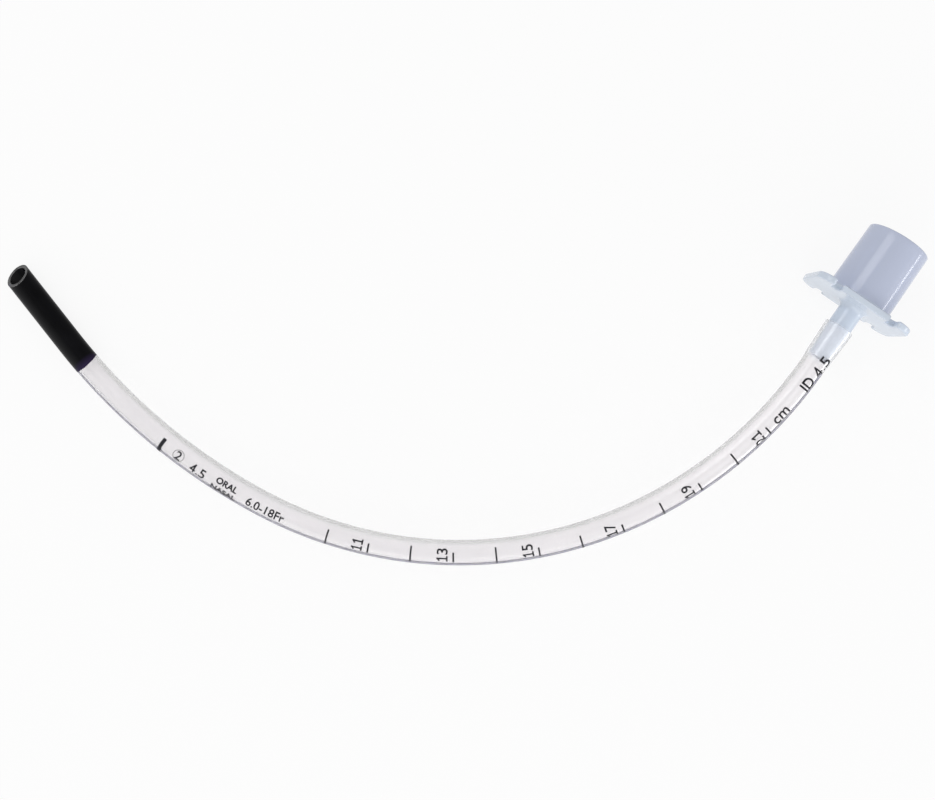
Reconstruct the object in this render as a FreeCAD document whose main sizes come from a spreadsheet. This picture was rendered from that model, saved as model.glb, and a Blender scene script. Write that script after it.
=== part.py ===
import FreeCAD, Part

import math
import os

import Sketcher
from FreeCAD import Placement, Rotation, Vector

# Uncuffed endotracheal tube of 4.5 mm bore with its 15 mm connector, lying as it comes to rest.
# The pieces are drawn round one axis: X runs out of the connector's cone, the tube's end face is at
# X = 0, the tube leaves it towards -X and bends towards +Y, and Z is up. One shared placement then
# lays everything on the ground. Millimetres and degrees.

SIZES = (
    ("tube_outer_diameter", 6.0, "outside of the tube, 18 Fr"),
    ("tube_bore_diameter", 4.5, "bore of the tube, the size that it is sold by"),
    ("tip_run", 22.4, "straight run at the patient end, up to the tip of the bevel"),
    ("tip_bend_radius", 141.0, "bend next to the straight tip"),
    ("tip_bend_angle", 24.6, "turn of that bend"),
    ("middle_bend_radius", 98.3, "bend in the middle of the tube"),
    ("middle_bend_angle", 52.5, "turn of that bend"),
    ("last_bend_radius", 100.5, "bend next to the connector"),
    ("last_bend_angle", 30.8, "turn of that bend"),
    ("bevel_angle", 50.0, "bevel of the tip, measured from the tube's axis"),
    ("bevel_rounding", 0.12, "rounding of the bevel's rims"),
    ("strand_diameter", 0.4, "radiopaque line in the wall of the tube"),
    ("strand_angle", 70.0, "place of that line, from straight up towards the convex side"),
    ("spigot_insertion", 8.5, "length of spigot inside the tube"),
    ("stretch_run_out", 2.5, "length past the spigot where the tube comes back to its own size"),
    ("spigot_bore_diameter", 3.7, "bore of the connector in its neck"),
    ("spigot_draft", 0.1, "how much wider the bore is at the spigot's free end, on its radius"),
    ("spigot_end_diameter", 4.9, "outside of the spigot at its free end"),
    ("neck_diameter", 5.7, "outside of the neck, and of the spigot where the tube ends"),
    ("neck_length", 5.6, "bare neck between the tube's end and the flange"),
    ("neck_fillet", 1.5, "fillet from the neck to the flange"),
    ("flange_thickness", 1.6, "thickness of the winged flange"),
    ("flange_span", 24.6, "flange across its wings"),
    ("wing_overhang", 0.9, "how far the wings reach past the plate between them, on each side"),
    ("wing_flat", 0.05, "flat between the two round corners of each wing"),
    ("wing_lip_radius", 0.8, "inner corners of the wings, beside the notches"),
    ("plate_ledge", 1.5, "ledge of the plate around the cone"),
    ("notch_offset", 0.4, "from the side of the cone's root to the outer side of each notch"),
    ("notch_width", 1.9, "width of each notch for the tape"),
    ("notch_depth", 3.2, "depth of each notch, from the edge of the plate to its round floor"),
    ("flange_edge_rounding", 0.4, "rounding of the flange's long edges"),
    ("cone_root_diameter", 15.5, "15 mm cone at the flange"),
    ("cone_length", 16.6, "length of the 15 mm cone"),
    ("cone_taper", 40.0, "length on which the cone's diameter changes by 1 mm"),
    ("cone_root_fillet", 0.3, "fillet from the cone to the flange"),
    ("rim_rounding", 0.45, "rounding of the cone's outer rim"),
    ("mouth_rounding", 0.25, "rounding of the socket's mouth"),
    ("cone_wall", 1.09, "wall of the cone at its rim"),
    ("socket_draft", 0.3, "how much narrower the socket is at the funnel, on its radius"),
    ("socket_depth", 11.5, "depth from the rim to the funnel"),
    ("funnel_length", 4.2, "length of the funnel, down to the spigot's bore"),
    ("ink_thickness", 0.04, "thickness of the printed ink"),
    ("tip_marking_length", 29.0, "black printed field, from the tip of the bevel"),
    ("cord_mark_distance", 55.0, "thick stroke for the vocal cords, from the tip of the bevel"),
    ("cord_mark_thickness", 0.9, "thickness of that stroke, along the tube"),
    ("cord_mark_length", 5.1, "length of that stroke, round the tube"),
    ("cord_mark_middle", 32.0, "angle of its middle, from straight up to the convex side"),
    ("stroke_pitch", 10.0, "pitch of the scale's strokes, one for each centimetre"),
    ("scale_offset", -0.7, "how far the strokes sit from their whole centimetres"),
    ("stroke_thickness", 0.4, "thickness of the scale's strokes, along the tube"),
    ("even_stroke_length", 4.3, "strokes at even centimetres, round the tube"),
    ("odd_stroke_length", 2.5, "strokes at odd centimetres, round the tube"),
    ("heading", 55.8, "direction of the connector on the ground"),
)

# The scale starts at this centimetre. The print wanders along the tube, so each stroke has the
# angle of its own middle, from straight up towards the convex side.
FIRST_CENTIMETRE = 10
STROKE_MIDDLES = (20.0, 16.0, 12.0, 14.0, 14.0, 24.0, 34.0, 32.0, 34.0, 30.0, 28.0, 28.0)

# How far a cutting outline runs past what it cuts.
CUT_MARGIN = 5.0

# How closely a point or a radius has to match for an edge to be the one that is looked for.
MATCH = 1e-4
LOOSE_MATCH = 0.01

DOCUMENT = FreeCAD.newDocument("EndotrachealTube")
SHEET = DOCUMENT.addObject("Spreadsheet::Sheet", "Sizes")
for row, (alias, number, note) in enumerate(SIZES, start=1):
    SHEET.set(f"A{row}", note)
    SHEET.set(f"B{row}", str(number))
    SHEET.setAlias(f"B{row}", alias)
DOCUMENT.recompute()

# Lengths that several pieces share, as formulas of the sheet.
TUBE_RADIUS = "Sizes.tube_outer_diameter / 2"
BORE_RADIUS = "Sizes.tube_bore_diameter / 2"
STRETCH_START = "-(Sizes.spigot_insertion + Sizes.stretch_run_out)"
SPIGOT_END = "-Sizes.spigot_insertion"
NECK_RADIUS = "Sizes.neck_diameter / 2"
SPIGOT_END_RADIUS = "Sizes.spigot_end_diameter / 2"
SPIGOT_BORE_RADIUS = "Sizes.spigot_bore_diameter / 2"
FLANGE_BACK = "Sizes.neck_length"
FLANGE_FACE = "Sizes.neck_length + Sizes.flange_thickness"
RIM = "Sizes.neck_length + Sizes.flange_thickness + Sizes.cone_length"
CONE_ROOT_RADIUS = "Sizes.cone_root_diameter / 2"
CONE_RIM_RADIUS = "(Sizes.cone_root_diameter - Sizes.cone_length / Sizes.cone_taper) / 2"
SOCKET_MOUTH_RADIUS = f"({CONE_RIM_RADIUS} - Sizes.cone_wall)"
SOCKET_FLOOR = f"{RIM} - Sizes.socket_depth"
FUNNEL_END = f"{SOCKET_FLOOR} - Sizes.funnel_length"
PLATE_HALF_DEPTH = "(Sizes.cone_root_diameter / 2 + Sizes.plate_ledge)"
WING_HALF_DEPTH = f"({PLATE_HALF_DEPTH} + Sizes.wing_overhang)"
NOTCH_OUTSIDE = f"({CONE_ROOT_RADIUS} + Sizes.notch_offset)"
NOTCH_INSIDE = f"({NOTCH_OUTSIDE} - Sizes.notch_width)"
NOTCH_CENTRE = f"({NOTCH_OUTSIDE} - Sizes.notch_width / 2)"
WING_CORNER_RADIUS = f"(Sizes.flange_span / 2 - {NOTCH_OUTSIDE} - Sizes.wing_flat)"


def value_of(formula):
    """The present value of a formula of the sheet."""
    return float(SHEET.evalExpression(formula))


def origin_part(body, role):
    """One of a body's own origin planes or axes, by its role."""
    return next(part for part in body.Origin.OriginFeatures if part.Role == role)


def new_sketch(body, name, role, shift="0", placement=None):
    """A sketch on one of the body's origin planes, moved along the plane's normal by a formula."""
    sketch = body.newObject("Sketcher::SketchObject", name)
    sketch.AttachmentSupport = (origin_part(body, role), [""])
    sketch.MapMode = "FlatFace"
    if placement is None:
        sketch.setExpression("AttachmentOffset.Base.z", shift)
    else:
        sketch.AttachmentOffset = placement
    DOCUMENT.recompute()
    return sketch


def limit(sketch, kind, formula, *where):
    """A constraint of the sketch whose value is a formula of the sheet."""
    number = sketch.addConstraint(Sketcher.Constraint(kind, *where))
    sketch.setExpression(f"Constraints[{number}]", formula)


def add_line(sketch, start, end, construction=False):
    """A straight line between two points of the sketch."""
    return sketch.addGeometry(Part.LineSegment(start, end), construction)


def add_arc(sketch, centre, radius, first, last):
    """An arc that turns anticlockwise from one angle to another, in radians."""
    circle = Part.Circle(centre, Vector(0, 0, 1), radius)
    return sketch.addGeometry(Part.ArcOfCircle(circle, first, last), False)


def fix_point(sketch, element, end, across, up):
    """Tie one end of an element to two formulas, measured from the sketch's origin."""
    limit(sketch, "DistanceX", across, -1, 1, element, end, value_of(across))
    limit(sketch, "DistanceY", up, -1, 1, element, end, value_of(up))


def draw_outline(sketch, corners):
    """A closed outline of straight lines, whose corners are pairs of formulas."""
    points = [Vector(value_of(across), value_of(up), 0) for across, up in corners]
    lines = [add_line(sketch, *ends) for ends in zip(points, points[1:] + points[:1])]
    for line, after, (across, up) in zip(lines, lines[1:] + lines[:1], corners):
        sketch.addConstraint(Sketcher.Constraint("Coincident", line, 2, after, 1))
        fix_point(sketch, line, 1, across, up)
    DOCUMENT.recompute()


def draw_circle(sketch, radius, across="0", up="0"):
    """A circle whose radius and centre are formulas."""
    centre = Vector(value_of(across), value_of(up), 0)
    circle = Part.Circle(centre, Vector(0, 0, 1), value_of(radius))
    number = sketch.addGeometry(circle, False)
    limit(sketch, "Radius", radius, number, value_of(radius))
    if (across, up) == ("0", "0"):
        sketch.addConstraint(Sketcher.Constraint("Coincident", number, 3, -1, 1))
    else:
        fix_point(sketch, number, 3, across, up)
    DOCUMENT.recompute()


def revolve(body, kind, name, corners):
    """Turn a closed outline in the XY plane once round the body's X axis."""
    sketch = new_sketch(body, f"{name}_outline", "XY_Plane")
    draw_outline(sketch, corners)
    turned = body.newObject(f"PartDesign::{kind}", name)
    turned.Profile = sketch
    turned.ReferenceAxis = (origin_part(body, "X_Axis"), [""])
    turned.Angle = 360
    DOCUMENT.recompute()
    return turned


def edges_where(feature, test):
    """Names of the feature's edges that pass a test."""
    return [f"Edge{n}" for n, edge in enumerate(feature.Shape.Edges, start=1) if test(edge)]


def round_edges(body, name, base, radius, test):
    """A fillet, with its radius from a formula, on the edges of a feature that pass a test."""
    fillet = body.newObject("PartDesign::Fillet", name)
    fillet.Base = (base, edges_where(base, test))
    fillet.setExpression("Radius", radius)
    DOCUMENT.recompute()
    return fillet


def is_ring(edge, x, radius):
    """Is this edge a circle round the X axis, at this X and of this radius?"""
    curve = edge.Curve
    if curve.TypeId != "Part::GeomCircle" or abs(curve.Center.x - x) > MATCH:
        return False
    return abs(curve.Radius - radius) < MATCH and abs(abs(curve.Axis.x) - 1) < MATCH


# The route of the tube, from the connector to the patient end


def draw_route(body):
    """The tube's centreline past its stretched end: three bends in a row and the straight tip."""
    sketch = new_sketch(body, f"{body.Label}_route", "XY_Plane")
    point = Vector(value_of(STRETCH_START), 0, 0)
    lead = add_line(sketch, Vector(), point, construction=True)
    sketch.addConstraint(Sketcher.Constraint("Coincident", lead, 1, -1, 1))
    sketch.addConstraint(Sketcher.Constraint("Horizontal", lead))
    limit(sketch, "Distance", f"-({STRETCH_START})", lead, point.Length)
    before, before_end, heading = lead, 2, -math.pi / 2
    for bend in ("last", "middle", "tip"):
        radius = value_of(f"Sizes.{bend}_bend_radius")
        turn = math.radians(value_of(f"Sizes.{bend}_bend_angle"))
        centre = point - Vector(math.cos(heading), math.sin(heading), 0) * radius
        arc = add_arc(sketch, centre, radius, heading - turn, heading)
        sketch.addConstraint(Sketcher.Constraint("Tangent", arc, 2, before, before_end))
        limit(sketch, "Radius", f"Sizes.{bend}_bend_radius", arc, radius)
        limit(sketch, "Angle", f"Sizes.{bend}_bend_angle", arc, turn)
        heading -= turn
        point = centre + Vector(math.cos(heading), math.sin(heading), 0) * radius
        before, before_end = arc, 1
    way = Vector(math.sin(heading), -math.cos(heading), 0)
    run = add_line(sketch, point, point + way * value_of("Sizes.tip_run"))
    sketch.addConstraint(Sketcher.Constraint("Tangent", run, 1, before, before_end))
    limit(sketch, "Distance", "Sizes.tip_run", run, value_of("Sizes.tip_run"))
    DOCUMENT.recompute()
    return sketch


def sweep_section(body, route, circles):
    """Circles of formulas (radius, across, up), swept along the route as one section."""
    section = new_sketch(body, f"{body.Label}_section", "YZ_Plane", STRETCH_START)
    for circle in circles:
        draw_circle(section, *circle)
    pipe = body.newObject("PartDesign::AdditivePipe", f"{body.Label}_run")
    pipe.Profile = section
    pipe.Spine = route
    DOCUMENT.recompute()
    return pipe


def tip_of(route):
    """The end of the route at the patient's side, and the direction that points out of it."""
    run = next(edge for edge in route.Shape.Edges if edge.Curve.TypeId == "Part::GeomLine")
    ends = sorted((vertex.Point for vertex in run.Vertexes), key=lambda point: point.y)
    return ends[1], (ends[1] - ends[0]).normalize()


def cut_bevel(body, route):
    """Cut the tip to a slope whose opening faces up, with its point on the ground side."""
    tip, way = tip_of(route)
    side = new_sketch(body, f"{body.Label}_bevel_side", "XZ_Plane", placement=side_view(tip, way))
    length = "Sizes.tube_outer_diameter / tan(Sizes.bevel_angle)"
    below = f"-{TUBE_RADIUS} - {CUT_MARGIN}"
    above = f"{TUBE_RADIUS} + {CUT_MARGIN}"
    reach = f"{CUT_MARGIN} / tan(Sizes.bevel_angle)"
    draw_outline(
        side,
        (
            (reach, below),
            (f"{CUT_MARGIN} * 2", below),
            (f"{CUT_MARGIN} * 2", above),
            (f"-({length}) - {reach}", above),
        ),
    )
    bevel = body.newObject("PartDesign::Pocket", f"{body.Label}_bevel")
    bevel.Profile = side
    bevel.Type = "ThroughAll"
    bevel.Midplane = True
    DOCUMENT.recompute()
    return bevel


def side_view(tip, way):
    """Place of a sketch that looks at the tip from the side, in the frame of the XZ plane."""
    # that plane's own axes are X, Z and -Y, so a turn about Z is a turn about its second axis
    angle = math.degrees(math.atan2(way.y, way.x))
    return Placement(Vector(tip.x, tip.z, -tip.y), Rotation(Vector(0, 1, 0), angle))


# Pieces made as bodies


def make_tube():
    """The clear tube: its long bent run, the end stretched over the spigot and the bevelled tip."""
    body = DOCUMENT.addObject("PartDesign::Body", "tube")
    body.Label = "tube"
    route = draw_route(body)
    sweep_section(body, route, ((TUBE_RADIUS,), (BORE_RADIUS,), strand_circle()))
    # stretching keeps the area of the wall
    wall = "(Sizes.tube_outer_diameter ^ 2 - Sizes.tube_bore_diameter ^ 2) / 4"
    revolve(
        body,
        "Revolution",
        "stretched_end",
        (
            (STRETCH_START, BORE_RADIUS),
            (SPIGOT_END, SPIGOT_END_RADIUS),
            ("0", NECK_RADIUS),
            ("0", f"sqrt(({NECK_RADIUS}) ^ 2 + {wall})"),
            (SPIGOT_END, f"sqrt(({SPIGOT_END_RADIUS}) ^ 2 + {wall})"),
            (STRETCH_START, TUBE_RADIUS),
        ),
    )
    bevel = cut_bevel(body, route)
    tip, way = tip_of(route)
    radii = (value_of(TUBE_RADIUS), value_of(BORE_RADIUS))
    near_tip = value_of("Sizes.tube_outer_diameter * (1 + 1 / tan(Sizes.bevel_angle))")

    def is_bevel_rim(edge):
        """Is this edge one of the two rims of the slope?"""
        near = all((vertex.Point - tip).Length < near_tip for vertex in edge.Vertexes)
        middle = edge.valueAt((edge.FirstParameter + edge.LastParameter) / 2) - tip
        off_axis = (middle - way * middle.dot(way)).Length
        on_wall = min(abs(off_axis - radius) for radius in radii) < LOOSE_MATCH
        return near and on_wall and edge.Curve.TypeId != "Part::GeomLine"

    round_edges(body, "bevel_rounding", bevel, "Sizes.bevel_rounding", is_bevel_rim)
    return body, route


def strand_circle():
    """The radiopaque line's circle in the section of the tube, in the middle of the wall."""
    middle = "(Sizes.tube_outer_diameter + Sizes.tube_bore_diameter) / 4"
    return (
        "Sizes.strand_diameter / 2",
        f"-({middle}) * sin(Sizes.strand_angle)",
        f"({middle}) * cos(Sizes.strand_angle)",
    )


def make_strand():
    """The radiopaque line, which fills its own channel in the wall of the tube."""
    body = DOCUMENT.addObject("PartDesign::Body", "radiopaque_line")
    body.Label = "radiopaque_line"
    route = draw_route(body)
    sweep_section(body, route, (strand_circle(),))
    cut_bevel(body, route)
    return body


def draw_wings(sketch):
    """The flange's outer outline: a rectangle with large round corners."""
    half_span, half_depth = "Sizes.flange_span / 2", WING_HALF_DEPTH
    radius, span, depth = (value_of(size) for size in (WING_CORNER_RADIUS, half_span, half_depth))
    arcs, lines = [], []
    for quarter in range(4):
        across = 1 if quarter in (0, 3) else -1
        up = 1 if quarter in (0, 1) else -1
        centre = Vector(across * (span - radius), up * (depth - radius), 0)
        first = quarter * math.pi / 2
        arcs.append(add_arc(sketch, centre, radius, first, first + math.pi / 2))
        limit(sketch, "Radius", WING_CORNER_RADIUS, arcs[-1], radius)
        fix_point(
            sketch,
            arcs[-1],
            3,
            f"{across} * ({half_span} - {WING_CORNER_RADIUS})",
            f"{up} * ({half_depth} - {WING_CORNER_RADIUS})",
        )
    ends = [(sketch.getPoint(arc, 1), sketch.getPoint(arc, 2)) for arc in arcs]
    for number in range(4):
        after = (number + 1) % 4
        lines.append(add_line(sketch, ends[number][1], ends[after][0]))
        sketch.addConstraint(Sketcher.Constraint("Tangent", arcs[number], 2, lines[-1], 1))
        sketch.addConstraint(Sketcher.Constraint("Tangent", lines[-1], 2, arcs[after], 1))
    DOCUMENT.recompute()


def draw_notches(sketch):
    """What is cut from the wings' outline: a notch beside each wing and the strip between them."""
    floor = f"({PLATE_HALF_DEPTH} - Sizes.notch_depth + Sizes.notch_width / 2)"
    radius = value_of("Sizes.notch_width / 2")
    for up in (1, -1):
        corners = []
        for across in (-1, 1):
            centre = Vector(across * value_of(NOTCH_CENTRE), up * value_of(floor), 0)
            first = math.pi if up > 0 else 0.0
            arc = add_arc(sketch, centre, radius, first, first + math.pi)
            limit(sketch, "Radius", "Sizes.notch_width / 2", arc, radius)
            fix_point(sketch, arc, 3, f"{across} * {NOTCH_CENTRE}", f"{up} * {floor}")
            # the arc's ends, from left to right
            left, right = (1, 2) if up > 0 else (2, 1)
            sketch.addConstraint(Sketcher.Constraint("Horizontal", arc, 1, arc, 2))
            corners.append((arc, left, right))
        join_notches(sketch, corners, up)
    DOCUMENT.recompute()


def join_notches(sketch, corners, up):
    """Join two notches' round floors into one outline: along the plate and past the wings."""
    plate = f"{up} * {PLATE_HALF_DEPTH}"
    beyond = f"{up} * ({WING_HALF_DEPTH} + {CUT_MARGIN})"
    (left_arc, left_out, left_in), (right_arc, right_in, right_out) = corners
    here = sketch.getPoint
    stops = (
        (left_arc, left_in),
        (f"-{NOTCH_INSIDE}", plate),
        (NOTCH_INSIDE, plate),
        (right_arc, right_in),
    )
    outside = (
        (right_arc, right_out),
        (NOTCH_OUTSIDE, beyond),
        (f"-{NOTCH_OUTSIDE}", beyond),
        (left_arc, left_out),
    )
    for first, second, third, fourth in (stops, outside):
        near = Vector(value_of(second[0]), value_of(second[1]), 0)
        far = Vector(value_of(third[0]), value_of(third[1]), 0)
        rise = add_line(sketch, here(*first), near)
        level = add_line(sketch, near, far)
        drop = add_line(sketch, far, here(*fourth))
        for one, one_end, two, two_end in (
            (first[0], first[1], rise, 1),
            (rise, 2, level, 1),
            (level, 2, drop, 1),
            (drop, 2, fourth[0], fourth[1]),
        ):
            sketch.addConstraint(Sketcher.Constraint("Coincident", one, one_end, two, two_end))
        fix_point(sketch, level, 1, *second)
        fix_point(sketch, level, 2, *third)


def make_connector():
    """The connector: a winged flange on a hollow cone, a neck and a spigot, moulded in one."""
    body = DOCUMENT.addObject("PartDesign::Body", "connector")
    body.Label = "connector"
    wings = new_sketch(body, "wings_outline", "YZ_Plane", FLANGE_BACK)
    draw_wings(wings)
    flange = body.newObject("PartDesign::Pad", "flange")
    flange.Profile = wings
    flange.setExpression("Length", "Sizes.flange_thickness")
    DOCUMENT.recompute()
    notches = new_sketch(body, "notches_outline", "YZ_Plane", FLANGE_BACK)
    draw_notches(notches)
    notched = body.newObject("PartDesign::Pocket", "notches")
    notched.Profile = notches
    notched.Type = "ThroughAll"
    notched.Midplane = True
    DOCUMENT.recompute()
    round_flange(body, round_lips(body, notched))
    outside = revolve(
        body,
        "Revolution",
        "outside",
        (
            (SPIGOT_END, "0"),
            (SPIGOT_END, SPIGOT_END_RADIUS),
            ("0", NECK_RADIUS),
            (FLANGE_BACK, NECK_RADIUS),
            (FLANGE_FACE, CONE_ROOT_RADIUS),
            (RIM, CONE_RIM_RADIUS),
            (RIM, "0"),
        ),
    )
    necked = round_ring(body, "neck_fillet", outside, FLANGE_BACK, NECK_RADIUS)
    rooted = round_ring(body, "cone_root_fillet", necked, FLANGE_FACE, CONE_ROOT_RADIUS)
    round_ring(body, "rim_rounding", rooted, RIM, CONE_RIM_RADIUS)
    hollow = revolve(
        body,
        "Groove",
        "inside",
        (
            (f"{SPIGOT_END} - {CUT_MARGIN}", "0"),
            (f"{SPIGOT_END} - {CUT_MARGIN}", f"{SPIGOT_BORE_RADIUS} + Sizes.spigot_draft"),
            (SPIGOT_END, f"{SPIGOT_BORE_RADIUS} + Sizes.spigot_draft"),
            ("0", SPIGOT_BORE_RADIUS),
            (FUNNEL_END, SPIGOT_BORE_RADIUS),
            (SOCKET_FLOOR, f"{SOCKET_MOUTH_RADIUS} - Sizes.socket_draft"),
            (RIM, SOCKET_MOUTH_RADIUS),
            (f"{RIM} + {CUT_MARGIN}", SOCKET_MOUTH_RADIUS),
            (f"{RIM} + {CUT_MARGIN}", "0"),
        ),
    )
    round_ring(body, "mouth_rounding", hollow, RIM, SOCKET_MOUTH_RADIUS)
    return body


def round_ring(body, alias, base, x, radius):
    """Round one circular edge round the axis by the size of this alias."""
    place, ring = value_of(x), value_of(radius)
    return round_edges(body, alias, base, f"Sizes.{alias}", lambda edge: is_ring(edge, place, ring))


def round_lips(body, base):
    """Round the inner corners of the wings, beside the notches."""
    across, depth = value_of(NOTCH_OUTSIDE), value_of(WING_HALF_DEPTH)

    def is_lip(edge):
        """Is this one of the four short edges through the flange at the wings' inner corners?"""
        points = [vertex.Point for vertex in edge.Vertexes]
        return all(
            abs(abs(point.y) - across) < MATCH and abs(abs(point.z) - depth) < MATCH
            for point in points
        )

    return round_edges(body, "wing_lips", base, "Sizes.wing_lip_radius", is_lip)


def round_flange(body, base):
    """Round the long edges of the flange on both of its faces."""
    levels = (value_of(FLANGE_BACK), value_of(FLANGE_FACE))

    def is_flange_edge(edge):
        """Does this edge lie wholly in one face of the flange?"""
        return any(
            all(abs(vertex.Point.x - level) < MATCH for vertex in edge.Vertexes)
            for level in levels
        )

    return round_edges(body, "flange_edges", base, "Sizes.flange_edge_rounding", is_flange_edge)


# Ink, a thin skin on the tube


class Stretch:
    """One edge of the route, walked from the patient's end."""

    def __init__(self, edge, near, passed):
        """Keep the edge, its end at the patient's side and the route's length before it."""
        self.length = edge.Length
        self.passed = passed
        self.near = near
        ends = sorted((vertex.Point for vertex in edge.Vertexes), key=near.distanceToPoint)
        self.far = ends[-1]
        self.bend = edge.Curve if edge.Curve.TypeId == "Part::GeomCircle" else None

    def station(self, distance):
        """The point at a distance from the patient's end of the route, and the way onwards."""
        walked = distance - self.passed
        if self.bend is None:
            way = (self.far - self.near).normalize()
            return self.near + way * walked, way
        turn = Rotation(Vector(0, 0, 1), math.degrees(walked / self.bend.Radius))
        arm = turn.multVec(self.near - self.bend.Center)
        return self.bend.Center + arm, Vector(0, 0, 1).cross(arm).normalize()

    def skin(self, start, end, angles):
        """Ink between two distances, and between two angles or all the way round."""
        point, way = self.station(start)
        face = ink_section(point, way, angles)
        if self.bend is None:
            return face.extrude(way * (end - start))
        turn = math.degrees((end - start) / self.bend.Radius)
        return face.revolve(self.bend.Center, Vector(0, 0, 1), turn)


def walk_route(route):
    """The stretches of the route, from the patient's end to the connector."""
    tip, _ = tip_of(route)
    edges = sorted(route.Shape.Edges, key=lambda edge: tip.distanceToPoint(edge.CenterOfMass))
    stretches, near, passed = [], tip, 0.0
    for edge in edges:
        stretches.append(Stretch(edge, near, passed))
        near = stretches[-1].far
        passed += edge.Length
    return stretches


def ink_section(point, way, angles):
    """The face that makes a skin: a ring, or the part of it between two angles.

    The angles are in degrees, from straight up towards the convex side of the tube.
    """
    inside = value_of(TUBE_RADIUS)
    outside = inside + value_of("Sizes.ink_thickness")
    if angles is None:
        rings = [Part.Wire(Part.makeCircle(radius, point, way)) for radius in (outside, inside)]
        return Part.makeFace(rings, "Part::FaceMakerBullseye")
    convex = way.cross(Vector(0, 0, 1))

    def spot(radius, angle):
        """A point of the section at this radius and angle."""
        turn = math.radians(angle)
        return point + (Vector(0, 0, 1) * math.cos(turn) + convex * math.sin(turn)) * radius

    first, last = angles
    middle = (first + last) / 2
    outer = Part.Arc(spot(outside, first), spot(outside, middle), spot(outside, last))
    inner = Part.Arc(spot(inside, last), spot(inside, middle), spot(inside, first))
    sides = (
        Part.LineSegment(spot(outside, last), spot(inside, last)),
        Part.LineSegment(spot(inside, first), spot(outside, first)),
    )
    edges = [curve.toShape() for curve in (outer, sides[0], inner, sides[1])]
    return Part.Face(Part.Wire(edges))


def print_ink(route, start, thickness, angles=None):
    """A printed mark: the skin over a stretch of the tube, measured from the tip of the bevel."""
    end = start + thickness
    skins = []
    for stretch in walk_route(route):
        # ink that starts before the first stretch runs on past the tip, for the bevel to trim
        low = max(start, stretch.passed) if stretch.passed else start
        high = min(end, stretch.passed + stretch.length)
        if high > low:
            skins.append(stretch.skin(low, high, angles))
    return skins[0].multiFuse(skins[1:]).removeSplitter() if len(skins) > 1 else skins[0]


def print_stroke(route, distance, thickness, length, middle):
    """A stroke across the tube, whose middle is at this distance and at this angle."""
    half_turn = math.degrees(length / 2 / value_of(TUBE_RADIUS))
    angles = (middle - half_turn, middle + half_turn)
    return print_ink(route, distance - thickness / 2, thickness, angles)


def bevel_side(route):
    """A block that fills everything beyond the slope of the tip."""
    tip, way = tip_of(route)
    radius = value_of(TUBE_RADIUS)
    bevel = math.radians(value_of("Sizes.bevel_angle"))
    out = way * math.sin(bevel) + Vector(0, 0, 1) * math.cos(bevel)
    width = 2 * (2 * radius / math.sin(bevel) + CUT_MARGIN)
    block = Part.makeBox(width, width, width, Vector(-width / 2, -width / 2, 0))
    block.Placement = Placement(
        tip - Vector(0, 0, radius), Rotation(Vector(0, 0, 1), out)
    ).multiply(block.Placement)
    return block


def add_print(name, shape):
    """Keep a printed shape as a piece of its own."""
    mark = DOCUMENT.addObject("Part::Feature", name)
    mark.Label = name
    mark.Shape = shape
    return mark


def make_tip_marking(route):
    """The black field round the patient end, cut to the same slope as the tube."""
    sleeve = print_ink(route, -CUT_MARGIN, value_of("Sizes.tip_marking_length") + CUT_MARGIN)
    return add_print("tip_marking", sleeve.cut(bevel_side(route)))


def make_cord_mark(route):
    """The thick stroke that is set at the vocal cords."""
    stroke = print_stroke(
        route,
        value_of("Sizes.cord_mark_distance"),
        value_of("Sizes.cord_mark_thickness"),
        value_of("Sizes.cord_mark_length"),
        value_of("Sizes.cord_mark_middle"),
    )
    return add_print("cord_mark", stroke)


def make_depth_scale(route):
    """The strokes of the centimetre scale, long at even and short at odd centimetres."""
    strokes = []
    for centimetre, middle in enumerate(STROKE_MIDDLES, start=FIRST_CENTIMETRE):
        kind = "odd" if centimetre % 2 else "even"
        strokes.append(
            print_stroke(
                route,
                centimetre * value_of("Sizes.stroke_pitch") + value_of("Sizes.scale_offset"),
                value_of("Sizes.stroke_thickness"),
                value_of(f"Sizes.{kind}_stroke_length"),
                middle,
            )
        )
    return add_print("depth_scale", Part.makeCompound(strokes))


# Laying the part down, checks and files


def rest_turn(route):
    """The turn that lays the part on the ground, on the tube's outermost bend and one wing edge."""
    rounding = value_of("Sizes.flange_edge_rounding")
    drop = value_of(WING_HALF_DEPTH) - rounding
    reach = value_of(FLANGE_BACK) + rounding - route.Shape.BoundBox.XMin
    gain = (value_of(TUBE_RADIUS) - rounding) / math.hypot(drop, reach)
    lift = math.degrees(math.atan2(drop, reach) - math.asin(gain))
    print(f"the connector's end is lifted by {lift:.3f} degrees")
    heading = Rotation(Vector(0, 0, 1), value_of("Sizes.heading"))
    return heading.multiply(Rotation(Vector(0, -1, 0), lift))


def lay_down(pieces, turn):
    """Give every piece one placement, with the origin under the middle of them all."""
    for piece in pieces:
        piece.Placement = Placement(Vector(), turn)
    DOCUMENT.recompute()
    whole = FreeCAD.BoundBox()
    for piece in pieces:
        whole.add(piece.Shape.optimalBoundingBox(False, False))
    shift = Vector(-whole.Center.x, -whole.Center.y, -whole.ZMin)
    for piece in pieces:
        piece.Placement = Placement(shift, turn)
    DOCUMENT.recompute()
    print("extents", round(whole.XLength, 2), round(whole.YLength, 2), round(whole.ZLength, 2))
    print("shift", [round(value, 3) for value in shift])


def check_document(pieces):
    """Stop if any object failed, or if a piece is empty or not valid."""
    for thing in DOCUMENT.Objects:
        if "Invalid" in thing.State or "Error" in thing.State:
            raise RuntimeError(f"{thing.Label} failed: {thing.State}")
    for piece in pieces:
        if piece.Shape.isNull() or not piece.Shape.isValid() or not piece.Shape.Solids:
            raise RuntimeError(f"{piece.Label} has no valid solid")
        print(piece.Label, len(piece.Shape.Solids), round(piece.Shape.Volume, 3))


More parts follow.
